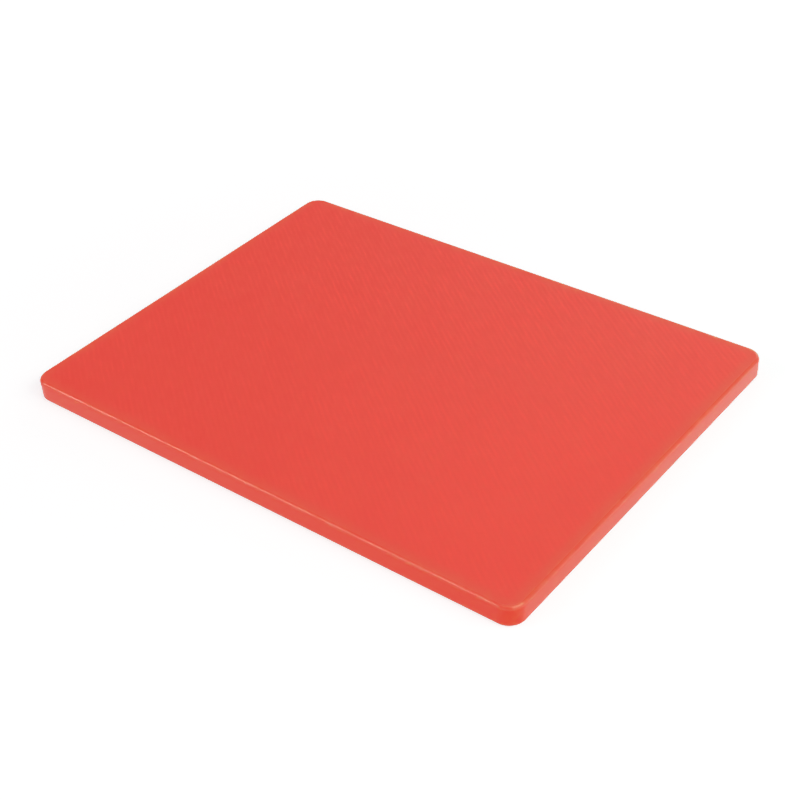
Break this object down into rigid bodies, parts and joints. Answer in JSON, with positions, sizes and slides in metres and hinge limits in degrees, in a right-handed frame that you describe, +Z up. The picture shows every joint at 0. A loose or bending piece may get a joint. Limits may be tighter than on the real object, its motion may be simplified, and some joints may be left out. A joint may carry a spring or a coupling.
{
  "type": "cutting board",
  "caption": "Flat rectangular cutting board of solid plastic with rounded corners, a rounded rim and the same finely textured work face on both sides.",
  "frame": {"origin": "middle of the underside, the face that the board rests on", "axes": "+X along the length, +Y across the width, +Z up, out of the upper work face"},
  "size_m": [0.305, 0.229, 0.012],
  "materials": {
    "board_plastic": "satin moulded polyethylene, coloured through, with a fine diagonal grip texture on both faces"
  },
  "bodies": {
    "root": {"cutting_board": "board_plastic"}
  },
  "joints": []
}
